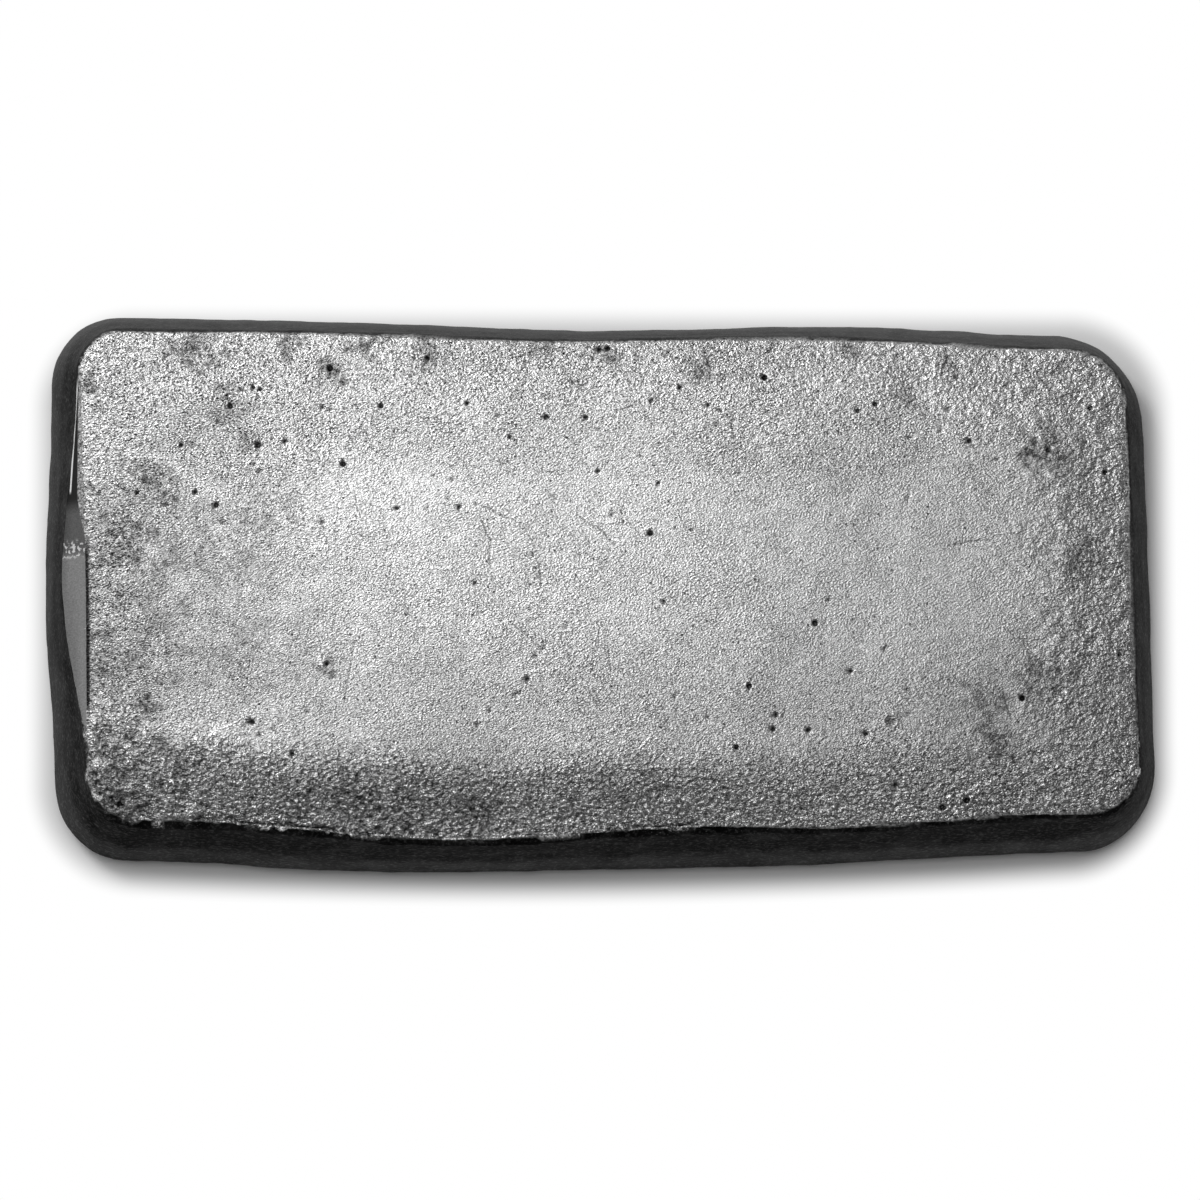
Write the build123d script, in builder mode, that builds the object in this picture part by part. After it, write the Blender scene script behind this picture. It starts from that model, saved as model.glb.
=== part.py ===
from build123d import *
from math import cos, radians, sin
import os

# A hand-poured silver bar of about one kilogram, cast in one piece in an open mould.
# It has been turned out and lies on the face that was open when it was poured, so its walls
# flare downwards to a rolled rim and the smaller face, cast on the mould's floor, is on top.
# Millimetres, +Z up, X along the bar, Y from its near side to its far side.

length = 117.5  # foot of the walls, from end to end between the sharp corners
width = 57.6  # foot of the walls, from near side to far side between the sharp corners
height = 15.6  # from the level floor to the top of the crown
draft_inset = 3.5  # how far the walls lean in between their foot and the face's edge
rim_roll = 2.0  # radius of the roll that the poured metal has under its widest line
face_edge_round = 0.7  # radius along the face's edge
crown_rise = 0.4  # how much the face swells from its edge to its flat middle
crown_inset = 7.5  # width of that swelling border

# The mould is worn at its mouth, which made the foot, and on its floor, which made the face.
# Each list runs clockwise seen from above and starts at the far left corner or the far side.
# A skew is how far a corner stands out from a true rectangle, along X and along Y.
foot_skews = ((0.25, 1.3), (-0.65, -0.6), (0.85, -1.0), (-0.55, 0.2))
face_skews = ((-0.35, 1.3), (-0.85, -0.6), (0.65, -1.4), (-2.15, -0.2))
foot_radii = (7.9, 10.0, 9.4, 8.4)
face_radii = (5.0, 5.6, 5.4, 5.2)

# The sides wave in and out: each wave is its share of the way along the side and its bulge.
foot_waves = (
    ((0.36, -0.3), (0.53, -0.45), (0.79, 0.5)),
    ((0.5, 0.15),),
    ((0.3, 1.05), (0.6, 1.3), (0.82, 0.95)),
    ((0.43, 0.65), (0.7, 0.4)),
)
face_waves = (
    ((0.25, 0.1), (0.48, -0.15), (0.7, 0.65)),
    ((0.3, 0.1), (0.6, -0.1)),
    ((0.27, 1.3), (0.43, 1.2), (0.67, 2.3), (0.85, 0.8)),
    ((0.28, 1.2), (0.46, 1.85), (0.7, 1.1)),
)

# One blade-shaped facet cuts the bowed left edge of the face along a straight line.
facet_reach = 53.75  # from the bar's middle to that line
facet_drop = 0.32  # of that line under the top of the crown
facet_tilt = 36.0  # how steeply the facet falls outwards
facet_turn = -0.8  # how much it leans towards the far side


def outline(inset, skews, radii, waves):
    """Draw a rounded rectangle with its corners moved and its sides waved, drawn in by inset."""
    half_length = length / 2 - inset
    half_width = width / 2 - inset
    quadrants = ((-1, 1), (1, 1), (1, -1), (-1, -1))
    corners = [
        Vector(side_x * (half_length + skew_x), side_y * (half_width + skew_y))
        for (side_x, side_y), (skew_x, skew_y) in zip(quadrants, skews)
    ]
    directions = [(corners[i - 3] - corners[i]).normalized() for i in range(4)]
    for i, direction in enumerate(directions):
        outwards = Vector(-direction.Y, direction.X)
        start = corners[i] + direction * radii[i]
        end = corners[i - 3] - direction * radii[i - 3]
        crests = [start + (end - start) * share + outwards * bulge for share, bulge in waves[i]]
        Spline(start, *crests, end, tangents=(direction, direction))
        turn_end = corners[i - 3] + directions[i - 3] * radii[i - 3]
        TangentArc(end, turn_end, tangent=direction)


face_edge_height = height - crown_rise

with BuildPart() as casting:
    with BuildSketch():
        with BuildLine():
            outline(0, foot_skews, foot_radii, foot_waves)
        make_face()
    with BuildSketch(Plane.XY.offset(face_edge_height)):
        with BuildLine():
            outline(draft_inset, face_skews, face_radii, face_waves)
        make_face()
    with BuildSketch(Plane.XY.offset(height)):
        with BuildLine():
            outline(draft_inset + crown_inset, face_skews, face_radii, face_waves)
        make_face()
    loft(ruled=True)
    fillet(casting.edges().group_by(Axis.Z)[0], rim_roll)
    face_edge = casting.edges().filter_by_position(Axis.Z, face_edge_height, face_edge_height)
    fillet(face_edge, face_edge_round)
    facet_plane = Plane(
        origin=(-facet_reach, 0, height - facet_drop),
        z_dir=(-sin(radians(facet_tilt)), sin(radians(facet_turn)), cos(radians(facet_tilt))),
    )
    split(bisect_by=facet_plane, keep=Keep.BOTTOM)

# The finished bar stands over the middle of its own outline.
middle = casting.part.bounding_box().center()
with BuildPart() as ingot:
    with Locations((-middle.X, -middle.Y, 0)):
        add(casting.part)
ingot.part.label = "ingot"

os.makedirs("parts", exist_ok=True)
export_step(ingot.part, "parts/ingot.step")
print(ingot.part.bounding_box(), ingot.part.volume)
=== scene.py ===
# %% [markdown]
# # A hand-poured silver bar
#
# This bar was cast in one pour and turned out of its mould. Its smaller face is on top, and it
# shows what the mould's floor was like: fine grain in the middle, coarse grain near the edges,
# gas pits and scratches. The walls flare down to a rolled rim and are nearly black.
#
# The exact solid of the bar comes with the frame. The steps below take its surface as clay,
# give it a fine even mesh, model the cast skin into that mesh, and then make one metal for it.

# %% Load the frame
import random
from math import cos, pi, radians, sin
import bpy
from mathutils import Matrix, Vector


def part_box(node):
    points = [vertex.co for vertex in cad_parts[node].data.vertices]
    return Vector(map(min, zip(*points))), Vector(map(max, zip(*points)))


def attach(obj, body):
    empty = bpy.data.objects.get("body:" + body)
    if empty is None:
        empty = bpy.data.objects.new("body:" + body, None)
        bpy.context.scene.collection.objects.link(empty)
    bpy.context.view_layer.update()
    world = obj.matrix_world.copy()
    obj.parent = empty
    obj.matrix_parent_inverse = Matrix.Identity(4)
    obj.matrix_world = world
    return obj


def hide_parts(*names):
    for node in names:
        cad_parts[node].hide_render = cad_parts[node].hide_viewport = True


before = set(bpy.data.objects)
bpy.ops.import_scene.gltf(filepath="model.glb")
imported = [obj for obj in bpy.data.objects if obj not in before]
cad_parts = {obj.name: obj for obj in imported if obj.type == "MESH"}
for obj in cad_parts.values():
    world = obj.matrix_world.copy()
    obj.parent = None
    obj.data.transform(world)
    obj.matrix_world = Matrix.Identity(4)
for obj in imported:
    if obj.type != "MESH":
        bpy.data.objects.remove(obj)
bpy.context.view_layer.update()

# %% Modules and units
from types import SimpleNamespace

import bmesh
import bpy
from mathutils import Matrix, Vector, kdtree, noise
from mathutils.bvhtree import BVHTree

MM = 0.001
bar_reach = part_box("ingot")[1]  # from the middle of the bar's foot to its right, far side and top
bar_top = bar_reach.z
print("the bar is %.1f mm high" % (bar_top / MM))

# %% [markdown]
# ## The camera
#
# The photograph looks almost straight down, from a little to the left and to the near side, with
# the bar's length across the picture. A camera could be turned by angles, but a plain matrix of
# three directions says the same thing without any doubt about the roll: right, up and backwards.
# The camera comes first, because marks seen in the photograph are placed with it.

# %% The camera
PHOTO_SIZE = 1200
camera_azimuth = radians(-18)
camera_elevation = radians(85)
camera_distance = 600 * MM
picture_width = 127.3 * MM  # what the picture takes in at the distance of the bar
looked_at = Vector((-0.07, -0.56, 2.0)) * MM

backwards = Vector((
    sin(camera_azimuth) * cos(camera_elevation),
    -cos(camera_azimuth) * cos(camera_elevation),
    sin(camera_elevation),
))
away = Vector((0, 1, 0))
upwards = (away - backwards * away.dot(backwards)).normalized()
sideways = upwards.cross(backwards)
camera_place = looked_at + backwards * camera_distance

camera_data = bpy.data.cameras.new("camera")
camera_data.sensor_width = 36
camera_data.lens = camera_data.sensor_width * camera_distance / picture_width
camera = bpy.data.objects.new("camera", camera_data)
turn = Matrix((sideways, upwards, backwards)).transposed().to_4x4()
camera.matrix_world = Matrix.Translation(camera_place) @ turn
bpy.context.scene.collection.objects.link(camera)
bpy.context.scene.camera = camera
print("lens %.1f mm" % camera_data.lens)

# %% Bring a point of the photograph onto the bar
pixel_width = picture_width / PHOTO_SIZE


def on_face(pixel):
    """The point of the bar's face that a pixel of the photograph shows."""
    right = (pixel[0] - PHOTO_SIZE / 2) * pixel_width
    up = (PHOTO_SIZE / 2 - pixel[1]) * pixel_width
    ray = sideways * right + upwards * up - backwards * camera_distance
    return camera_place + ray * ((bar_top - camera_place.z) / ray.z)


print("a pixel of the photograph covers %.3f mm" % (pixel_width / MM))

# %% [markdown]
# ## An even mesh to model in
#
# The solid's own triangles are long and thin, and a relief of a few tenths of a millimetre needs
# small even faces. A voxel remesh wraps the solid in squares of one size. It rounds the edges a
# little, so each point is pulled back onto the solid, which keeps the real shape.

# %% Wrap the cast solid in even squares
cast = bmesh.new()
cast.from_mesh(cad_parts["ingot"].data)
bmesh.ops.remove_doubles(cast, verts=cast.verts, dist=0.002 * MM)
cast.normal_update()
cast_surface = BVHTree.FromBMesh(cast)

voxel = 0.75 * MM


def even_mesh(shape, name):
    """The shape of a bmesh, wrapped in squares about one voxel wide."""
    mesh = bpy.data.meshes.new(name)
    shape.to_mesh(mesh)
    block = bpy.data.objects.new(name, mesh)
    bpy.context.scene.collection.objects.link(block)
    remesh = block.modifiers.new("even squares", "REMESH")
    remesh.mode = "VOXEL"
    remesh.voxel_size = voxel
    depsgraph = bpy.context.evaluated_depsgraph_get()
    even = bmesh.new()
    even.from_mesh(bpy.data.meshes.new_from_object(block.evaluated_get(depsgraph)))
    bpy.data.objects.remove(block)
    return even


def pull_onto_cast():
    """Put every point of the bar back onto the solid's surface."""
    for point in bar.verts:
        point.co = cast_surface.find_nearest(point.co)[0]
    bar.normal_update()


bar = even_mesh(cast, "bar block")
pull_onto_cast()
print("squares:", len(bar.faces))

# %% [markdown]
# ## Where the face ends
#
# Much of the cast skin depends on how far a spot is from the face's edge: the grain is coarse near
# it and fine in the middle. The edge is where the solid's surface turns from the steep wall to
# the level face, so the points there go into a search tree, and any spot can ask it how far
# inland it lies.

# %% Find the face's edge
steep = 0.6  # how far up a surface faces where the wall turns into the face, 1 being level
edge_step = 0.5 * MM
edge_spots = []
for edge in cast.edges:
    tilts = [side.normal.z for side in edge.link_faces]
    if min(tilts) < steep <= max(tilts):
        spots = max(1, round(edge.calc_length() / edge_step))
        start, end = (point.co for point in edge.verts)
        edge_spots += [start.lerp(end, step / spots) for step in range(spots)]
face_edge = kdtree.KDTree(len(edge_spots))
for index, spot in enumerate(edge_spots):
    face_edge.insert(spot, index)
face_edge.balance()
print("spots along the face's edge:", len(edge_spots))


# %% Measure from the edge
def inland(spot):
    """Distance from the face's edge in millimetres, negative on the walls."""
    nearest, _, distance = face_edge.find(spot)
    sign = max(-1, min(1, (spot.z - nearest.z) / (0.1 * MM)))  # turns smoothly, so no step shows
    return sign * distance / MM


def ramp(value, start, end):
    """0 at start, 1 at end, smooth between them."""
    share = min(1, max(0, (value - start) / (end - start)))
    return share * share * (3 - 2 * share)


print("the middle of the face lies %.1f mm inland" % inland(Vector((0, 0, bar_top))))

# %% [markdown]
# ## Finer squares where the skin is
#
# The walls are smooth, but the face has grain, so the squares that look up are halved once. A
# finer voxel would do the same, and would waste most of its squares on the walls and the foot.

# %% Halve the squares of the face
looking_up = 0.5
upper = [edge for edge in bar.edges if min(point.normal.z for point in edge.verts) > looking_up]
bmesh.ops.subdivide_edges(bar, edges=upper, cuts=1, use_grid_fill=True)
bar.normal_update()
print("faces with a finer top:", len(bar.faces))

# %% [markdown]
# ## The facet's plane
#
# One blow or one stroke of a file has left a flat blade-shaped facet on the left edge. It is cut
# later, but the squares along it are divided soon, so that its borders come out clean. The plane
# is taken from the solid, whose own facet is its largest flat triangle at that slope.

# %% Find the facet's plane
leftward, upward_least, upward_most = -0.5, 0.75, 0.85  # parts of the facet's normal
tilted = [side for side in cast.faces if upward_least < side.normal.z < upward_most]
sloped = [side for side in tilted if side.normal.x < leftward]
facet_side = max(sloped, key=lambda side: side.calc_area())
facet_normal = facet_side.normal.copy()
facet_depth = 0.03 * MM
facet_spot = facet_side.calc_center_median() - facet_normal * facet_depth


def under_facet(spot):
    """Depth under the facet's plane in millimetres."""
    return (facet_spot - spot).dot(facet_normal) / MM


print("the facet looks towards", tuple(round(part, 2) for part in facet_normal))

# %% [markdown]
# ## Gas pits
#
# Gas leaves small round holes in a cast face. They could be a pattern in the material, but then
# the large ones would look painted in a low light, so they are pressed into the mesh. The largest
# stand where the photograph shows them, with their radius in millimetres, and so do two shallow
# dimples. The small ones are scattered by chance, denser towards the far side and the left.

# %% Place the pits
seen_pits = (
    ((650, 533), 0.42), ((598, 471), 0.30), ((397, 508), 0.27), ((459, 507), 0.28), ((428, 508), 0.20),
    ((815, 623), 0.40), ((749, 686), 0.36), ((776, 715), 0.28), ((773, 729), 0.34), ((808, 730), 0.33),
    ((851, 671), 0.26), ((736, 747), 0.34), ((866, 734), 0.28), ((708, 718), 0.22), ((252, 722), 0.36),
    ((327, 664), 0.27), ((292, 754), 0.30), ((306, 712), 0.20), ((216, 505), 0.36), ((230, 406), 0.36),
    ((546, 417), 0.36), ((586, 417), 0.34), ((258, 445), 0.38), ((181, 445), 0.30), ((381, 406), 0.34),
    ((343, 464), 0.36), ((477, 725), 0.22), ((490, 711), 0.20), ((885, 648), 0.24), ((907, 689), 0.24),
    ((764, 377), 0.38), ((427, 358), 0.36), ((875, 404), 0.34), ((858, 411), 0.30), ((253, 387), 0.26),
    ((969, 441), 0.34), ((531, 555), 0.20), ((584, 721), 0.20), ((195, 492), 0.30), ((330, 368), 0.42),
    ((544, 649), 0.22), ((516, 694), 0.22), ((675, 697), 0.22), ((909, 497), 0.20), ((829, 600), 0.22),
    ((260, 389), 0.28), ((272, 390), 0.24), ((285, 441), 0.27), ((192, 442), 0.20), ((223, 523), 0.24),
    ((167, 505), 0.24), ((137, 493), 0.26), ((322, 407), 0.26), ((330, 410), 0.22), ((323, 523), 0.24),
    ((460, 399), 0.24), ((467, 403), 0.28), ((500, 416), 0.24), ((680, 387), 0.30), ((708, 405), 0.28),
    ((719, 410), 0.22), ((651, 401), 0.28), ((510, 437), 0.26), ((608, 463), 0.24), ((658, 483), 0.27),
    ((599, 349), 0.30), ((608, 348), 0.28), ((692, 530), 0.24), ((612, 515), 0.22), ((475, 583), 0.24),
    ((664, 601), 0.24), ((527, 679), 0.30), ((463, 672), 0.22), ((535, 656), 0.20), ((633, 503), 0.22),
    ((1090, 408), 0.36), ((1105, 472), 0.36), ((1048, 450), 0.30), ((1022, 698), 0.38), ((943, 807), 0.42),
    ((967, 800), 0.42), ((896, 785), 0.30), ((1120, 655), 0.30),
)
dimples = (((891, 721), 0.62), ((452, 479), 0.36))
pit_depth, dimple_depth = 0.9, 0.05  # shares of the radius
pits = [(on_face(pixel), radius, pit_depth) for pixel, radius in seen_pits]
pits += [(on_face(pixel), radius, dimple_depth) for pixel, radius in dimples]
print("pits and dimples seen in the photograph:", len(pits))

# %% Scatter the small pits
all_pits = 215
inner_length, inner_width = 52, 23
smallest_pit, largest_small_pit = 0.10, 0.22
chance = random.Random(11)
while len(pits) < all_pits:
    spot = Vector((
        chance.uniform(-inner_length, inner_length) * MM,
        chance.uniform(-inner_width, inner_width) * MM,
        bar_top,
    ))
    crowding = 0.25 + 0.75 * ramp(spot.y / MM, -2, 16) + 0.5 * ramp(-spot.x / MM, 30, 50)
    if chance.random() < crowding:
        pits.append((spot, chance.uniform(smallest_pit, largest_small_pit), pit_depth))

pit_places = kdtree.KDTree(len(pits))
for index, (spot, radius, depth) in enumerate(pits):
    pit_places.insert(Vector((spot.x, spot.y, 0)), index)
pit_places.balance()


def nearest_pit(spot):
    """Distance to the nearest pit over its radius, that radius in millimetres, and the depth."""
    _, index, distance = pit_places.find(Vector((spot.x, spot.y, 0)))
    _, radius, depth = pits[index]
    return distance / MM / radius, radius, depth


print("pits with the scattered ones:", len(pits))

# %% [markdown]
# ## Scratches and burrs
#
# Handling has left hair-thin marks on the face. A dark one is a groove with painted shade in it,
# and a bright one is a thin burr of metal with a painted highlight, as along the near edge. Each is
# traced as a short line of pixels. The traced lines are cut into close spots for a search tree,
# and a little noise keeps them from looking ruled.

# %% Trace the scratches
DARK, BRIGHT = 0, 1
scratches = (
    (BRIGHT, (595, 523), (615, 522), (634, 522)), (BRIGHT, (548, 631), (572, 631)),
    (BRIGHT, (420, 568), (453, 569)), (BRIGHT, (533, 670), (560, 668)), (BRIGHT, (420, 626), (440, 625)),
    (BRIGHT, (208, 733), (226, 727), (244, 717)), (BRIGHT, (640, 748), (651, 736)),
    (BRIGHT, (597, 834), (645, 832), (693, 828)), (BRIGHT, (318, 640), (322, 668)),
    (DARK, (577, 515), (600, 530), (617, 545)), (DARK, (480, 518), (491, 540), (490, 570)),
    (DARK, (475, 503), (500, 514), (535, 528)), (DARK, (543, 472), (562, 475)),
    (DARK, (545, 490), (563, 503)), (DARK, (500, 466), (507, 463), (513, 464)),
    (DARK, (527, 573), (530, 588)), (DARK, (540, 565), (541, 587)), (DARK, (520, 627), (533, 641)),
    (DARK, (608, 650), (611, 672)), (DARK, (590, 693), (600, 707)), (DARK, (594, 691), (603, 705)),
    (DARK, (97, 570), (112, 545), (130, 520)), (DARK, (88, 482), (100, 497)),
    (DARK, (271, 430), (272, 448)), (DARK, (340, 462), (346, 463), (348, 470)),
    (DARK, (425, 421), (430, 418), (437, 420)), (DARK, (443, 429), (446, 424), (453, 423)),
    (DARK, (166, 762), (168, 756), (176, 753)), (DARK, (345, 700), (352, 660), (356, 640)),
    (DARK, (1003, 690), (1010, 712), (1012, 722)), (DARK, (950, 545), (985, 540)),
    (BRIGHT, (208, 824), (250, 828), (300, 831), (350, 834), (400, 837), (430, 839)),
    (BRIGHT, (445, 840), (478, 839)), (BRIGHT, (490, 838), (530, 836)), (BRIGHT, (113, 806), (152, 821)),
    (DARK, (214, 819), (245, 823), (275, 826), (330, 829)), (BRIGHT, (630, 831), (700, 828)),
    (BRIGHT, (1139, 743), (1143, 752), (1142, 764), (1138, 776)), (DARK, (1134, 747), (1137, 760)),
    (DARK, (166, 768), (166, 760), (172, 753), (182, 752)), (DARK, (92, 385), (103, 391)),
    (DARK, (123, 513), (128, 523)), (DARK, (614, 413), (634, 406), (648, 400)),
    (DARK, (155, 738), (147, 752)), (DARK, (137, 700), (146, 708), (150, 717)),
    (DARK, (120, 705), (128, 707)),
)
scratch_step = 0.1 * MM
scratch_spots = []
for kind, *pixels in scratches:
    corners = [on_face(pixel) for pixel in pixels]
    for start, end in zip(corners, corners[1:]):
        steps = round((end - start).length / scratch_step)
        scratch_spots += [(start.lerp(end, step / steps), kind) for step in range(steps)]
print("scratches:", len(scratches), "as spots:", len(scratch_spots))

# %% Let the scratches waver
wobble_width, wobble_length = 0.12 * MM, 1.5 * MM
scratch_places = kdtree.KDTree(len(scratch_spots))
for index, (spot, kind) in enumerate(scratch_spots):
    wobble = wobble_width * noise.noise(spot / wobble_length)
    scratch_places.insert(Vector((spot.x + wobble, spot.y + wobble, 0)), index)
scratch_places.balance()


def nearest_scratch(spot):
    """Distance to the nearest scratch in millimetres, and its kind."""
    _, index, distance = scratch_places.find(Vector((spot.x, spot.y, 0)))
    return distance / MM, scratch_spots[index][1]


print("the middle of the face is %.1f mm from a scratch" % nearest_scratch(Vector((0, 0, bar_top)))[0])

# %% [markdown]
# ## Room for small forms
#
# A hole half a millimetre wide needs more points than the mesh has there. Finer squares all over
# would be too many, so they are divided only round the larger pits, along the near edge's flash,
# along the facet's borders and along the scratches. Then the new points go onto the solid too.

# %% Divide the squares where something small comes
def divide(wanted, steepest=0.4):
    """Divide once more each square whose every corner is wanted."""
    chosen = {point for point in bar.verts if point.normal.z > steepest and wanted(point.co)}
    close = [edge for edge in bar.edges if chosen.issuperset(edge.verts)]
    bmesh.ops.subdivide_edges(bar, edges=close, cuts=1, use_grid_fill=True)
    bar.normal_update()


for reach, smallest in ((1.8, 0.19), (1.4, 0.25)):
    divide(lambda spot: nearest_pit(spot)[0] < reach and nearest_pit(spot)[1] > smallest)
flash_width = 1.3
divide(lambda spot: spot.y < -22 * MM and spot.x < 12 * MM and 0 <= inland(spot) < flash_width)
for reach in (0.6, 0.3):
    divide(lambda spot: spot.x < -52 * MM and abs(under_facet(spot)) < reach, steepest=-0.1)
for reach in (0.5, 0.26):
    divide(lambda spot: nearest_scratch(spot)[0] < reach)
pull_onto_cast()
print("faces with room for small forms:", len(bar.faces))

# %% [markdown]
# ## The zones of the face
#
# The face is not the same everywhere. Grain is coarse along the near side, at the right end and
# at the near left corner, and finest right of the middle. Darkening is patina with painted shade
# in a band along the near side and at the near left corner, which slope away from the light, a
# painted fall-off of the light to the right and at the left edge, a stain at the left and ragged
# smudges. A few spots carry a painted sheen. The zones could be painted by hand. Here each one is
# a plain function of the spot, in millimetres from the bar's middle, so that it can be read and
# changed. Its border is shifted by noise, because a straight one would look sprayed on. Noise from
# mathutils gives the same value for the same place each time, so it needs no seed.

# %% Noise by size
def swell(spot, size, shift=0):
    """Smooth noise from -1 to 1 with bumps of about this size in millimetres."""
    return noise.noise(spot / (size * MM) + Vector((shift, 2 * shift, 0)))


near_spot, middle_spot = Vector((0, -23, 15.6)) * MM, Vector((0, 0, 15.6)) * MM
print("slow noise near the edge %.2f, in the middle %.2f" % (swell(near_spot, 9), swell(middle_spot, 9)))


# %% Coarse grain
def cornerwards(spot):
    """How far a spot lies towards the near left corner of the face, which is at about 80."""
    return -spot.x / MM - 1.3 * spot.y / MM


def coarse_at(spot):
    """How coarse the grain is, from 0 in the middle of the face to 1 near its edges."""
    x, y = spot.x / MM, spot.y / MM
    drift = 1.5 * swell(spot, 9, 3) + 1.1 * swell(spot, 2.4, 5)
    fading = ramp(x, 0, 35)
    near = 1 - ramp(y + drift - 3.0 * (x / 50) ** 2, -21.5 - 3 * fading, -16.0 + fading)
    near *= 1 - 0.25 * fading
    right = 0.55 * ramp(x + 1.5 * drift, 39, 52)
    left = 0.3 * (1 - ramp(x + drift, -53, -44))
    far = 0.25 * ramp(y + drift, 16, 22) + 0.3 * ramp(y + 2 * drift, 11, 19) * ramp(x, 15, 40)
    corner = 0.9 * ramp(cornerwards(spot) + 2 * drift, 62, 74)
    return max(near, right, left, far, corner)


print("coarseness near the edge %.2f, in the middle %.2f" % (coarse_at(near_spot), coarse_at(middle_spot)))


# %% Fine grain
def grain_at(spot):
    """How strongly the fine grain shows, from 0 to 1. It is calmest right of the middle."""
    x, y = spot.x / MM, spot.y / MM
    drift = 2.0 * swell(spot, 8, 31) + 1.2 * swell(spot, 2.5, 32)
    calm = 0.5 - 0.22 * ramp(x + drift, 5, 35) + 0.12 * swell(spot, 3, 33)
    far = ramp(y + 1.5 * drift, 4, 17) * (1 - 0.25 * ramp(x, -10, 50))
    left = 1 - ramp(x + 2 * drift, -52, -34)
    right = 0.6 * ramp(x + drift, 38, 50)
    near = 1 - ramp(y + drift, -19.5, -13)
    return min(1, max(calm, far, left, right, near))


print("fine grain near the edge %.2f, in the middle %.2f" % (grain_at(near_spot), grain_at(middle_spot)))

# %% Smudges and painted sheens
smudges = (
    ((196, 346), 3.4), ((285, 345), 1.6), ((330, 372), 1.8), ((228, 404), 1.9), ((152, 472), 2.8),
    ((125, 543), 2.2), ((90, 388), 1.4), ((250, 440), 1.5), ((430, 352), 1.6), ((545, 350), 1.5),
    ((610, 352), 1.3), ((147, 706), 1.5), ((130, 737), 1.2), ((196, 748), 1.6), ((700, 372), 2.0),
    ((1045, 450), 3.0), ((1040, 680), 2.6), ((985, 700), 2.2), ((905, 395), 1.6), ((1085, 560), 2.4),
    ((330, 665), 1.2), ((222, 415), 1.2), ((850, 350), 1.6), ((155, 742), 1.2), ((997, 743), 2.0),
    ((1037, 672), 1.4), ((950, 367), 1.2), ((180, 775), 1.3), ((355, 808), 3.0), ((415, 806), 2.8),
    ((300, 806), 2.2), ((480, 812), 2.0), ((365, 345), 1.8),
)
# painted sheens: bright patches that stand in for reflected light
painted_sheens = (
    ((780, 445), 2.4), ((262, 450), 1.3), ((366, 632), 1.2), ((359, 665), 1.1), ((354, 700), 1.1),
    ((348, 735), 1.2), ((343, 768), 1.2), ((440, 488), 2.4), ((115, 800), 1.4), ((90, 785), 1.2),
)
smudge_places = [(on_face(pixel), radius) for pixel, radius in smudges]
painted_sheen_places = [(on_face(pixel), radius) for pixel, radius in painted_sheens]


def patch_at(spot, places):
    """How deep in a ragged patch a spot lies, from 0 to 1."""
    ragged = 1.0 * swell(spot, 1.4, 34) + 0.9 * swell(spot, 0.7, 35)
    shares = [(spot - place).to_2d().length / MM / radius for place, radius in places]
    return 1 - ramp(min(shares) + ragged, 0.1, 1.2)


print("smudges:", len(smudges), "burnished spots:", len(painted_sheens))

# %% Tarnish
most_tarnish = 1.25


def tarnish_at(spot):
    """Patina and painted shade: a band along the near side, painted fall-off of light to the right."""
    x, y = spot.x / MM, spot.y / MM
    drift = 1.6 * swell(spot, 9, 8) + 0.9 * swell(spot, 2.5, 9)
    fading = ramp(x, 0, 35)
    # patina, with painted shade where the near side slopes away from the light
    band = 0.38 * (1 - ramp(y + drift, -15, 0))
    band += (0.5 - 0.3 * fading) * (1 - ramp(y + drift, -21.5, -14.5))
    # painted shade on the near left corner, which slopes away from the light
    corner = 0.45 * ramp(cornerwards(spot) + 2.5 * drift, 56, 74)
    # painted shade: the light falls off towards the right end
    falloff_shade = 0.36 * ramp(x + drift, -5, 48) * (1 - 0.85 * ramp(y, 9, 20))
    falloff_shade *= 0.4 + 0.6 * ramp(y, -24, -13)
    far = 0.10 * ramp(y + drift, 17, 24) * (1 - ramp(x, 10, 45))
    # painted shade: the light falls off at the left edge
    left = 0.25 * (1 - ramp(x + drift, -54, -40))
    stain = (1 - ramp(x + 2 * drift, -38, -26)) * ramp(y + drift, -14, -8)
    stain *= (1 - ramp(y + drift, 8, 13)) * (0.5 + 0.5 * swell(spot, 1.5, 41))
    patches = 0.95 * patch_at(spot, smudge_places)
    return min(most_tarnish, max(band, corner) + falloff_shade + max(far, left) + stain + patches)


print("tarnish near the edge %.2f, in the middle %.2f" % (tarnish_at(near_spot), tarnish_at(middle_spot)))


# %% Clouds of lighter and darker metal
def tone_at(spot):
    """Random clouds of lighter and darker metal about 0, with painted sheens as the lightest."""
    x, y = spot.x / MM, spot.y / MM
    broad = 0.5 * swell(spot, 10, 21) + 0.4 * swell(spot, 4, 22)
    fine = 0.5 * swell(spot, 1.6, 23) + 0.5 * swell(spot, 0.8, 26)
    # a broad painted sheen where the face looks brightest
    shine = ramp(x, -36, -22) * (1 - ramp(x, 2, 24)) * ramp(y, 0, 10) * (1 - ramp(y, 18, 26))
    return broad + fine + 0.7 * shine + 0.9 * patch_at(spot, painted_sheen_places)


def wall_tone_at(point):
    """Painted light: walls darkest under the face and lighter at the foot of the far and left ones."""
    # painted light: lighter facing the far left, on the far wall, at the foot, in a near-wall stripe
    lit_side = max(0, 0.3 * point.normal.y - 0.4 * point.normal.x)
    far_wall_light = 0.9 * max(0, point.normal.y) + 0.2 * abs(point.normal.x)
    height = point.co.z / MM
    foot = 1 - ramp(height, 1.5, 11)
    stripe = ramp(height, 2, 4.5) * (1 - ramp(height, 5.5, 8)) * max(0, -point.normal.y)
    clouds = 0.25 * swell(point.co, 3, 24) + 0.2 * swell(point.co, 1.2, 25)
    return foot * (0.35 + lit_side) + far_wall_light + 0.3 * stripe + clouds


print("tone near the edge %.2f, in the middle %.2f" % (tone_at(near_spot), tone_at(middle_spot)))
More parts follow.
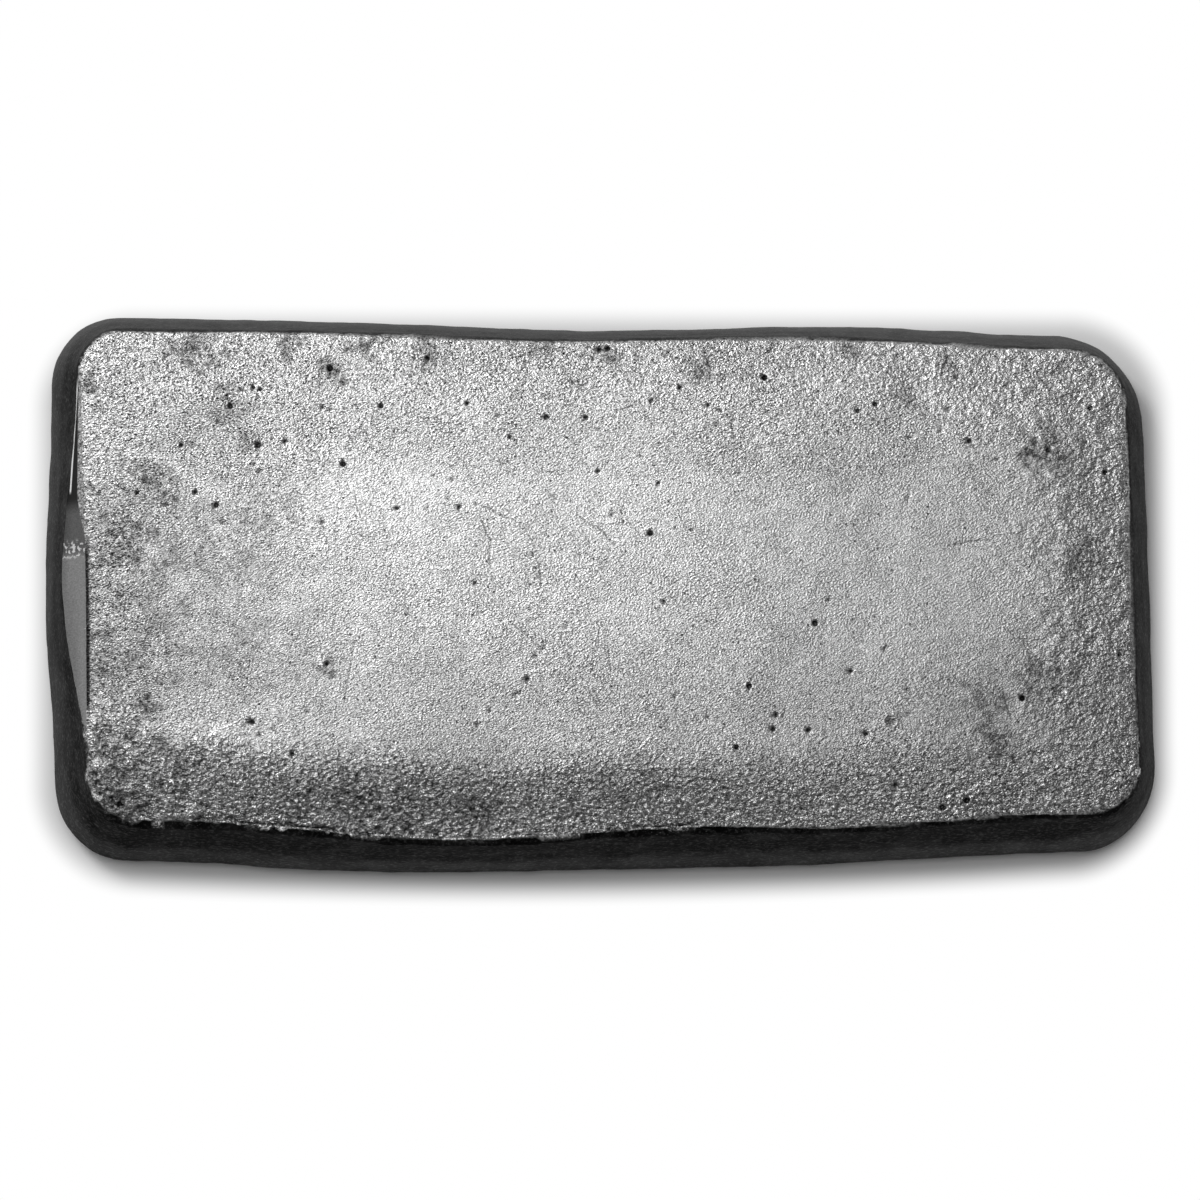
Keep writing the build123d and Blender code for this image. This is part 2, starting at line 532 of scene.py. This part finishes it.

# %% [markdown]
# ## The cast skin
#
# Each point moves along its normal by a rise in millimetres, and takes two more marks for the
# metal to read: how much painted shade it gets, most at the bottom of a hollow, and how much painted
# highlight it gets. Each form of the skin is a small function that adds to these marks: the slow
# swells left by cooling, the lumps of the coarse grain, the crumbled near left corner, the pits,
# the scratches and the flash, a thin fin that ran out at the mould's joint along the near edge.

# %% Swells and lumps
def press_grain(mark, spot, coarse):
    """Slow swells everywhere, lumps where the grain is coarse, and a droop at the near side."""
    mark.rise = 0.09 * swell(spot, 13) + 0.04 * swell(spot, 5, 1)
    lumps = Vector((spot.x * 0.7, spot.y, spot.z))
    mark.rise += coarse * (0.09 * swell(lumps, 0.75, 4) + 0.07 * swell(lumps, 1.8, 6))
    rightmost = ramp(spot.x / MM, 34, 46) * ramp(coarse, 0, 0.4)
    mark.rise += rightmost * (0.05 * swell(spot, 0.6, 27) + 0.10 * swell(spot, 1.0, 28))
    mark.rise += (1 - coarse) * (0.014 * swell(spot, 1.0, 7) + 0.012 * swell(spot, 2.2, 17))
    droop = 0.5 - 0.3 * ramp(spot.x / MM, 0, 35)
    mark.rise -= droop * (1 - ramp(spot.y / MM, -25, -18)) ** 2


near_mark = SimpleNamespace(rise=0, hollow=0, flash=0)
press_grain(near_mark, near_spot, coarse_at(near_spot))
print("rise of the grain at one spot near the edge: %.2f mm" % near_mark.rise)

# %% Crumbs
crumb_height = 0.40


def press_crumbs(mark, spot, depth_in):
    """Chunky crumbs at the near left corner, with painted highlights on top and painted shade between."""
    crumbled = ramp(cornerwards(spot), 66, 78) * (1 - ramp(depth_in, 3, 7))
    crumb = swell(spot, 1.3, 19) + 0.4 * swell(spot, 0.6, 20)
    mark.rise += crumbled * crumb_height * crumb
    mark.flash = 0.85 * crumbled * ramp(crumb, 0.15, 0.5)
    mark.hollow = 0.4 * crumbled * ramp(-crumb, 0.15, 0.5)


corner_mark = SimpleNamespace(rise=0, hollow=0, flash=0)
press_crumbs(corner_mark, Vector((-51, -23, 15.6)) * MM, depth_in=1)
print("rise of the crumbs at one spot of the corner: %.2f mm" % corner_mark.rise)

# %% Pits
brim_reach, brim_height = 1.5, 0.08  # shares of the pit's radius
# a dimple gets this share of a pit's painted shade
dimple_shade = 0.75


def press_pit(mark, spot):
    """The bowl of the nearest pit with painted shade in it, and the low brim round it."""
    share, radius, depth = nearest_pit(spot)
    if share < brim_reach:
        share += 0.2 * swell(spot, 0.4, 18)
        bowl = 1 - ramp(share, 0.3, 1.0)
        brim = ramp(share, 0.8, 1.0) * (1 - ramp(share, 1.0, brim_reach))
        mark.rise += -depth * radius * bowl + brim_height * radius * brim
        mark.hollow = max(mark.hollow, bowl) * (1 if depth == pit_depth else dimple_shade)


pit_mark = SimpleNamespace(rise=0, hollow=0, flash=0)
press_pit(pit_mark, pits[0][0])
print("the first pit is %.2f mm deep" % -pit_mark.rise)

# %% Scratches
scratch_depth = 0.03


def press_scratch(mark, spot, depth_in):
    """A dark scratch is a groove with painted shade, a bright one a low ridge with painted highlight."""
    distance, kind = nearest_scratch(spot)
    line = (1 - ramp(distance, 0.04, 0.14)) * ramp(depth_in, -0.1, 0.1)
    if line > 0 and kind == DARK:
        mark.rise -= scratch_depth * line
        mark.hollow = max(mark.hollow, 0.35 * line)
    elif line > 0:
        mark.rise += scratch_depth * line
        mark.flash = 0.8 * line


scratch_mark = SimpleNamespace(rise=0, hollow=0, flash=0)
press_scratch(scratch_mark, scratch_spots[0][0], depth_in=20)
print("the first scratch rises by %.3f mm" % scratch_mark.rise)

# %% Flash
flash_stretches = ((-42.5, -19.5), (0.0, 10.0))
flash_height, fade = 0.10, 1.5


def press_flash(mark, spot, depth_in):
    """A thin ridge on parts of the near edge with painted highlight, a groove inland with painted shade.
    """
    for start, end in flash_stretches:
        x = spot.x / MM + 1.2 * swell(spot, 2.5, 12)
        along = ramp(x, start, start + fade) * (1 - ramp(x, end - fade, end))
        if spot.y < 0 and along > 0:
            wander = depth_in + 0.12 * swell(spot, 1.8, 13)
            ridge = ramp(wander, 0.0, 0.15) * (1 - ramp(wander, 0.2, 0.35))
            groove = ramp(wander, 0.35, 0.55) * (1 - ramp(wander, 0.65, 0.95))
            mark.rise += along * (flash_height * ridge - flash_height * groove)
            mark.flash = max(mark.flash, 0.4 * along * ridge)
            mark.hollow = max(mark.hollow, 0.6 * along * groove)


print("flash along %.0f mm of the near edge" % sum(end - start for start, end in flash_stretches))

# %% [markdown]
# ## The sides that the mould and the air made
#
# The walls took soft upright streaks from the mould. The underside is the side that was open when
# the metal was poured, and it sank a little as it cooled, so it is a shallow dish. Its rise is
# never more than 0, because it would push through the floor. The facet was cut through the skin
# afterwards, so the skin beside it stays plain and a thin painted shadow follows part of its border.

# %% Walls and underside
dish_depth = 0.3


def press_wall(mark, spot):
    """Soft streaks, longer upwards than sideways."""
    streak = Vector((spot.x, spot.y, spot.z * 0.5))
    mark.rise = 0.10 * swell(streak, 4, 1) + 0.05 * swell(streak, 1.5, 2)


def press_underside(mark, spot):
    """A shallow dish with a few slow waves in it."""
    middle = 1 - ramp(max(abs(spot.x / MM) - 28, abs(spot.y / MM) * 1.2, 0), 8, 24)
    dish = -dish_depth * middle * (1 + 0.3 * swell(spot, 9)) - 0.08 * (1 + swell(spot, 6, 1))
    mark.rise = min(0, dish)


dish_mark = SimpleNamespace(rise=0)
press_underside(dish_mark, Vector((0, 0, 0)))
print("the underside's middle sinks by %.2f mm" % -dish_mark.rise)

# %% The borders of the face and of the facet
waver = 0.10


def press_edge(mark, spot, depth_in):
    """The edge between the face and the walls wavers a little."""
    mark.rise += waver * swell(spot, 1.6, 15) * (1 - ramp(abs(depth_in), 0.2, 1.2))


def press_beside_facet(mark, point):
    """No rise close to the facet, and a painted shadow along the middle part of its border."""
    spot = point.co
    beside = under_facet(spot)
    by_facet = (1 - ramp(abs(beside), 0.5, 1.2)) * (1 - ramp(spot.x / MM, -53.5, -52))
    mark.rise *= 1 - by_facet
    if spot.x < -50 * MM and beside < 0.6 and point.normal.z > facet_normal.z:
        middle_part = ramp(spot.y / MM, -15, -12) * (1 - ramp(spot.y / MM, 3, 6))
        mark.hollow = max(mark.hollow, middle_part * (1 - ramp(beside, 0.12, 0.3)))


def face_share_at(point, depth_in):
    """1 on the face, 0 on the walls. Left of the middle, the face rolls over the near edge."""
    spot = point.co
    lip = (1 - ramp(spot.x / MM, -6, 4)) * (1 - ramp(spot.y / MM, -20, -15))
    level_part = ramp(point.normal.z, 0.72 - 0.32 * lip, 0.95 - 0.20 * lip)
    return ramp(depth_in + 0.3 * swell(spot, 1.1, 2), -0.1 - 0.5 * lip, 0.3 - 0.4 * lip) * level_part


level_shares = [face_share_at(point, inland(point.co)) for point in bar.verts if point.normal.z > 0.99]
print("points on the level face:", sum(share > 0.5 for share in level_shares))

# %% Press the relief in
face_above, foot_below = 0.4, -0.5  # the upward part of a point's normal on the face and the foot
# four of these also carry painted shade, painted sheen, painted light and painted highlights
zones = ("face", "coarse", "grain", "tarnish", "tone", "hollow", "flash")
layers = {name: bar.verts.layers.float.new(name) for name in zones}
moves = []
for point in bar.verts:
    spot = point.co
    depth_in = inland(spot)
    coarseness = coarse_at(spot)
    mark = SimpleNamespace(rise=0, hollow=0, flash=0)
    if point.normal.z > face_above:
        press_grain(mark, spot, coarseness)
        press_crumbs(mark, spot, depth_in)
        press_pit(mark, spot)
        press_scratch(mark, spot, depth_in)
        press_flash(mark, spot, depth_in)
    elif point.normal.z < foot_below:
        press_underside(mark, spot)
    else:
        press_wall(mark, spot)
    press_edge(mark, spot, depth_in)
    press_beside_facet(mark, point)
    share = face_share_at(point, depth_in)
    # clouds carries random tone with painted sheen on the face and painted light on the walls
    clouds = share * tone_at(spot) + (1 - share) * wall_tone_at(point)
    values = (share, coarseness, grain_at(spot), tarnish_at(spot), clouds, mark.hollow, mark.flash)
    for name, value in zip(zones, values):
        point[layers[name]] = value
    moves.append((point, point.normal * (mark.rise * MM)))
for point, move in moves:
    point.co += move
    point.co.z = max(0, point.co.z)  # nothing goes below the floor
bar.normal_update()
print("points pressed:", len(moves))

# %% [markdown]
# ## The facet
#
# The facet could be pressed flat point by point, but a cut by a plane is cleaner. It lies a little
# deeper than the solid's own facet, so that its borders are crisp again after the remesh. The
# hole that the cut leaves is filled with one flat face, and its rim stays sharp.

# %% Cut the facet
facet = bar.faces.layers.float.new("facet")
for side in bar.faces:
    side.smooth = True
cut = bmesh.ops.bisect_plane(
    bar, geom=bar.verts[:] + bar.edges[:] + bar.faces[:],
    plane_co=facet_spot, plane_no=facet_normal, clear_outer=True,
)
rim_edges = [item for item in cut["geom_cut"] if isinstance(item, bmesh.types.BMEdge)]
filled = bmesh.ops.holes_fill(bar, edges=rim_edges, sides=0)
for side in filled["faces"]:
    side[facet] = 1
    side.smooth = False
for edge in rim_edges:
    edge.smooth = False
print("facet patches:", len(filled["faces"]), "with %d edges round them" % len(rim_edges))

# %% [markdown]
# ## The bar's skin as an object
#
# Dividing left some points in the middle of a long edge. Triangles made round such a point would
# be two equal slivers back to back, so these points are dissolved first. The skin then replaces
# the bar's plain node and rides on the same body.

# %% Make the bar's skin an object
splitting = [point for point in bar.verts if len(point.link_edges) == 2]
bmesh.ops.dissolve_verts(bar, verts=splitting)
bmesh.ops.triangulate(bar, faces=bar.faces)
bmesh.ops.recalc_face_normals(bar, faces=bar.faces)
skin_mesh = bpy.data.meshes.new("ingot_skin")
bar.to_mesh(skin_mesh)
skin = bpy.data.objects.new("ingot_skin", skin_mesh)
bpy.context.scene.collection.objects.link(skin)
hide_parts("ingot")
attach(skin, "root")
print("triangles:", len(skin_mesh.polygons), "without %d splitting points" % len(splitting))

# %% [markdown]
# ## Shader maths as expressions
#
# A material made of dozens of Math nodes is hard to read. Here a small class wraps a socket, so
# that `1 - mask` or `height + 0.02 * grain` adds the Math nodes by itself. Every other node
# comes from one method, which takes the node's type, its settings and what its sockets get.

# %% Wires
class Wire:
    """A value on its way through a material. Sums and products of wires add Math nodes."""

    def __init__(self, finish, socket):
        self.finish = finish
        self.socket = socket

    def math(self, operation, first, second=0.0):
        return self.finish.add("ShaderNodeMath", {"operation": operation}, {0: first, 1: second})

    def __add__(self, other):
        return self.math("ADD", self, other)

    def __sub__(self, other):
        return self.math("SUBTRACT", self, other)

    def __rsub__(self, other):
        return self.math("SUBTRACT", other, self)

    def __mul__(self, other):
        return self.math("MULTIPLY", self, other)

    def __pow__(self, other):
        return self.math("POWER", self, other)

    __radd__ = __add__
    __rmul__ = __mul__

    def absolute(self):
        return self.math("ABSOLUTE", self)

    def at_most(self, other):
        return self.math("MINIMUM", self, other)

    def at_least(self, other):
        return self.math("MAXIMUM", self, other)

    def ramp(self, start, end):
        """0 at start, 1 at end, smooth between them."""
        settings = {"interpolation_type": "SMOOTHSTEP"}
        return self.finish.add("ShaderNodeMapRange", settings, {0: self, 1: start, 2: end})


print("a wire knows", ", ".join(name for name in vars(Wire) if not name.startswith("_")))


# %% Finishes
class Finish:
    """A material, or the world, as a place to add nodes to."""

    def __init__(self, owner):
        owner.use_nodes = True
        self.tree = owner.node_tree
        self.tree.nodes.clear()

    def add(self, kind, settings=None, inputs=None, output=0):
        """One node: its type, its settings, what its sockets get, and the output wanted."""
        node = self.tree.nodes.new(kind)
        for name, value in (settings or {}).items():
            setattr(node, name, value)
        for name, value in (inputs or {}).items():
            if isinstance(value, Wire):
                self.tree.links.new(value.socket, node.inputs[name])
            else:
                node.inputs[name].default_value = value
        return Wire(self, node.outputs[output]) if node.outputs else node

    def split(self, vector):
        """The three parts of a vector."""
        node = self.add("ShaderNodeSeparateXYZ", None, {"Vector": vector}).socket.node
        return [Wire(self, output) for output in node.outputs]

    def grey(self, level):
        """The same level of red, green and blue."""
        return self.add("ShaderNodeCombineColor", None, {0: level, 1: level, 2: level})

    def attribute(self, name):
        return self.add("ShaderNodeAttribute", {"attribute_name": name}, output="Fac")

    def placed(self, size, stretch=(1, 1, 1), turned=0, shift=0):
        """The object's coordinates, counted in steps of this size in millimetres."""
        scale = [part / (size * MM) for part in stretch]
        inputs = {"Vector": self.place, "Scale": scale, "Rotation": (0, 0, radians(turned))}
        inputs["Location"] = (shift, shift, shift)
        return self.add("ShaderNodeMapping", None, inputs)

    def noise(self, size, detail=2.0, roughness=0.5, **where):
        """Soft noise about 0.5, with lumps of this size in millimetres."""
        inputs = {"Vector": self.placed(size, **where), "Scale": 1.0, "Detail": detail}
        inputs["Roughness"] = roughness
        return self.add("ShaderNodeTexNoise", None, inputs)

    def cells(self, size, **where):
        """Distance to the nearest of the scattered points, one to each cell of this size."""
        inputs = {"Vector": self.placed(size, **where), "Scale": 1.0}
        return self.add("ShaderNodeTexVoronoi", None, inputs)


def plain_grey(level):
    """A grey for a socket that gets no wire."""
    return (level, level, level, 1)


print("a finish knows", ", ".join(name for name in vars(Finish) if not name.startswith("_")))

# %% [markdown]
# ## Cast silver
#
# Poured silver is one metal with several skins. The face is bright where the mould was smooth. Where
# it was rough, the low parts of its lumps get painted shade and their tops painted glints. Painted
# shade lies in every hollow, and the walls are nearly black, painted lighter where light falls on
# them. A material for each skin would leave hard borders between them, so one material mixes a
# few greys by the attributes and breaks them up with noise at the scales that the photograph shows.

# %% What the metal reads
metal = Finish(bpy.data.materials.new("cast silver"))
metal.place = metal.add("ShaderNodeTexCoord", output="Object")
face_share = metal.attribute("face")
coarse = metal.attribute("coarse")
grain = metal.attribute("grain")
tarnish = metal.attribute("tarnish")
tone = metal.attribute("tone")
hollow = metal.attribute("hollow")
flash = metal.attribute("flash")
facet_share = metal.attribute("facet")

grit = metal.noise(0.19, 1.0, 0.6, stretch=(0.85, 1.2, 1), turned=-40)
peel = metal.noise(0.43, 2.0, 0.5, stretch=(0.9, 1.1, 1), turned=8)
specks = metal.noise(0.5, 1.0, 0.5, shift=7)
pin_hole = 1 - (metal.cells(1.05, shift=5) + 0.25 * peel).ramp(0.17, 0.24)
print("the metal reads", len(zones) + 1, "attributes and 4 patterns")

# %% Greys of the face and of the walls
# silver with the painted sheen of the tone, and a speckle painted lighter where the grit's bump rises
silver_and_painted_light = 0.62 + 0.16 * tone + (grit - 0.5) * (0.6 + 2.2 * grain) * (1 - 0.5 * coarse)
# darkening by patina and painted shade, which also makes the face duller
dull_and_shaded = tarnish * (0.7 + 0.45 * specks.ramp(0.36, 0.64) + 0.4 * tone)
# painted shade in the low parts of the coarse lumps, and painted glints on their tops
painted_recess_shade = 1 - peel.ramp(0.36, 0.60)
glint = peel.ramp(0.60, 0.74)
# painted shade in the pits, pin holes, grooves and fine dark specks
shaded_holes = hollow.at_least(0.8 * pin_hole).at_least(0.6 * grain * specks.ramp(0.62, 0.70))
face_level = silver_and_painted_light * (1 - 0.55 * dull_and_shaded) * (1 - 0.4 * coarse * painted_recess_shade) * (1 - 0.93 * shaded_holes)
# painted glints on the coarse lumps
face_level = face_level + 0.5 * coarse * glint
# nearly black walls with their painted light, random light specks and a painted highlight on the bump
wall_level = 0.006 + 0.08 * tone.at_least(0) + 0.10 * grit.ramp(0.66, 0.76) + 0.04 * peel.ramp(0.5, 0.7)
print("nodes for the greys so far:", len(metal.tree.nodes))

# %% [markdown]
# ## The facet's own greys
#
# The facet is a bare cut. Its near half is painted light, and its far half painted nearly black as
# shade, with a hair-thin painted highlight along it and painted glints on a few rough spots. The
# flat cut is a little wider there than in the photograph, so a strip along its inner border gets
# the face's grain back. A flat cut has no points to press such forms into, so the line and the
# strip are drawn here, from places seen in the photograph.

# %% The facet's painted light and shade
skin_x, skin_y, _ = metal.split(metal.place)
# painted light on the near part of the facet, fading to painted shade at the far part
painted_facet_light = 1 - 0.55 * skin_y.ramp(2.5 * MM, 3.6 * MM) - 0.40 * skin_y.ramp(7.0 * MM, 9.0 * MM)
# painted glints on a few rough spots
rough_glints = skin_y.ramp(2.4 * MM, 3.0 * MM) * (1 - skin_y.ramp(4.0 * MM, 4.8 * MM))
rough_glints = rough_glints * peel.ramp(0.50, 0.62)

line_start = on_face((69.3, 494))
line_end = on_face((77.7, 373))
lean = (line_end.x - line_start.x) / (line_end.y - line_start.y)
off_line = (skin_x - line_start.x - (skin_y - line_start.y) * lean).absolute()
# a painted highlight along the facet's outer edge
bright_line = 1 - off_line.ramp(0.03 * MM, 0.13 * MM)
bright_line = bright_line * skin_y.ramp(line_start.y, line_start.y + 0.5 * MM)
bright_line = bright_line * (1 - skin_y.ramp(line_end.y - 2 * MM, line_end.y))
facet_level = 0.02 + 0.30 * painted_facet_light + 0.25 * (grit - 0.5) * painted_facet_light + 0.6 * rough_glints + 0.9 * bright_line

inner_border = on_face((84, 548)).x - 0.85 * MM * skin_y.ramp(4 * MM, 9.3 * MM)
regrown = facet_share * (skin_x - inner_border).ramp(0, 0.12 * MM) * skin_y.ramp(4.0 * MM, 4.8 * MM)
bare_cut = facet_share - regrown
grainy_share = face_share.at_least(0.8 * regrown)
print("the bright line is %.1f mm long" % ((line_end - line_start).length / MM))

# %% [markdown]
# ## One metal from the greys
#
# The greys are laid over each other in the order in which they came about: the walls, the face,
# the painted highlights of the flash, the crumbs and the bright scratches, and the cut. A metal's
# look also depends on its gloss. The face is satin, duller where it is darkened, and the walls are
# duller still. Grain that is too fine for the mesh is a bump.
# The dark tint at grazing angles keeps the steep walls from mirroring the white ground.

# %% Mix the greys and add the fine relief
darkest, lightest = 0.005, 0.9
level = wall_level + (face_level - wall_level) * grainy_share
# painted highlights on the crumbs, the flash ridge and the bright scratches
level = level + 0.9 * flash * (0.15 + grit.ramp(0.42, 0.62))
level = level + (facet_level - level) * bare_cut
level = level.at_least(darkest).at_most(lightest)

glossiest = 0.29
rough = 0.31 + 0.05 * tone + 0.08 * dull_and_shaded - 0.05 * coarse + 0.50 * (1 - grainy_share)

fine_relief = ((0.05 + 0.08 * grain) * grit + 0.05 * specks * grain) * (1 - 0.6 * coarse)
coarse_relief = coarse * 0.38 * peel
relief = grainy_share * (fine_relief + coarse_relief - 0.12 * pin_hole) + (1 - grainy_share) * 0.14 * peel
relief = relief * (1 - 0.8 * bare_cut)
bump = metal.add("ShaderNodeBump", None, {"Strength": 1.0, "Distance": MM, "Height": relief})
shader = metal.add("ShaderNodeBsdfPrincipled", None, {
    "Base Color": metal.grey(level), "Metallic": 1.0, "Roughness": rough.at_least(glossiest),
    "Normal": bump, "Specular Tint": plain_grey(0.6),
})
metal.add("ShaderNodeOutputMaterial", None, {"Surface": shader})
skin_mesh.materials.append(bpy.data.materials["cast silver"])
print("nodes of the metal:", len(metal.tree.nodes))

# %% [markdown]
# ## The floor
#
# The picture has a plain white ground with a soft dark shadow close round the bar. More light
# would make a matt floor white, but would bleach the bar too. So the floor is matt only close to
# the bar, where it takes the shadow. Further out it glows white for the camera and for what the
# metal mirrors, and adds no light of its own. The border between the two is a rectangle with
# round corners, which follows the bar's foot and bows out a little with its near side.

# %% The floor
floor = bmesh.new()
floor_radius = 4.0
bmesh.ops.create_circle(floor, cap_ends=True, segments=64, radius=floor_radius)
floor_mesh = bpy.data.meshes.new("floor")
floor.to_mesh(floor_mesh)
floor_piece = bpy.data.objects.new("floor", floor_mesh)
bpy.context.scene.collection.objects.link(floor_piece)
print("the floor is %.0f m wide" % (2 * floor_radius))

# %% How far from the bar's foot
paint = Finish(bpy.data.materials.new("floor paint"))
paint.place = paint.add("ShaderNodeTexCoord", output="Object")
floor_x, floor_y, _ = paint.split(paint.place)
shadow_middle = (0.3 * MM, -0.8 * MM)
corner_radius = 9 * MM
bow_length = 42 * MM
along_bow = floor_x * (1 / bow_length)
bow = (along_bow * along_bow + 0.5 * along_bow - 0.2) * MM  # the near side bulges in its middle
bowed_y = floor_y - bow * (1 - floor_y.ramp(-5 * MM, 5 * MM))
overhangs = []
for wire, middle, reach in zip((floor_x, bowed_y), shadow_middle, (bar_reach.x, bar_reach.y)):
    offset = (wire - middle).absolute()
    overhangs.append((offset - (reach - corner_radius)).at_least(0))
gap = (overhangs[0] ** 2 + overhangs[1] ** 2) ** 0.5 - corner_radius
far_from_bar = gap.ramp(-0.8 * MM, 2.7 * MM)
print("nodes that measure the floor:", len(paint.tree.nodes))

# %% The floor's paint
matt = paint.add("ShaderNodeBsdfDiffuse", None, {"Color": plain_grey(0.9)})
glow = paint.add("ShaderNodeEmission", None, {"Color": plain_grey(1.0), "Strength": 1.0})
seen = paint.add("ShaderNodeLightPath", output="Is Camera Ray")
mirrored = Wire(paint, seen.socket.node.outputs["Is Glossy Ray"])
passed = Wire(paint, seen.socket.node.outputs["Is Transmission Ray"])
whitening = far_from_bar * (seen + mirrored + passed)
ground = paint.add("ShaderNodeMixShader", None, {0: whitening, 1: matt, 2: glow})
paint.add("ShaderNodeOutputMaterial", None, {"Surface": ground})
floor_mesh.materials.append(bpy.data.materials["floor paint"])
print("nodes of the floor's paint:", len(paint.tree.nodes))

# %% [markdown]
# ## The room and the lamps
#
# A metal shows what is round it, so the room matters more than the lamps. Its walls are pale near
# the floor and its ceiling is a duller grey, a little lighter at the far side and on the left,
# which makes the relief stand out. A broad soft lamp overhead gives the face its sheen, and a
# smaller one from the far left lets each grain throw a fine shadow.

# %% The room
room = bpy.data.worlds.new("room")
bpy.context.scene.world = room
air = Finish(room)
ray = air.add("ShaderNodeTexCoord", output="Generated")
rightward, farward, upward = air.split(ray)
ceiling_level = 0.34 - 0.16 * upward.ramp(0.05, 0.6)
horizon_level = 0.40 * (1 - upward.ramp(0.12, 0.42))
room_level = (ceiling_level + horizon_level + 0.14 * farward - 0.05 * rightward).at_least(0.05)
backdrop = air.add("ShaderNodeBackground", None, {"Color": air.grey(room_level), "Strength": 1.0})
air.add("ShaderNodeOutputWorld", None, {"Surface": backdrop})
print("nodes of the room:", len(air.tree.nodes))


# %% The lamps
def soft_lamp(name, place, size, radiance):
    """A square lamp of this size in metres, aimed at the bar, which looks this bright."""
    lamp = bpy.data.lights.new(name, "AREA")
    lamp.size = size
    lamp.energy = radiance * pi * size * size
    holder = bpy.data.objects.new(name, lamp)
    aim = Vector(place).to_track_quat("Z", "Y")
    holder.matrix_world = Matrix.Translation(place) @ aim.to_matrix().to_4x4()
    holder.visible_camera = False
    bpy.context.scene.collection.objects.link(holder)
    print("%s lamp: %.2f W" % (name, lamp.energy))


soft_lamp("overhead", (-0.11, 0.13, 0.60), 0.36, 2.5)
soft_lamp("far key", (-0.36, 0.40, 0.50), 0.20, 12)

# %% Finish the scene
bpy.context.scene.view_settings.view_transform = "Standard"
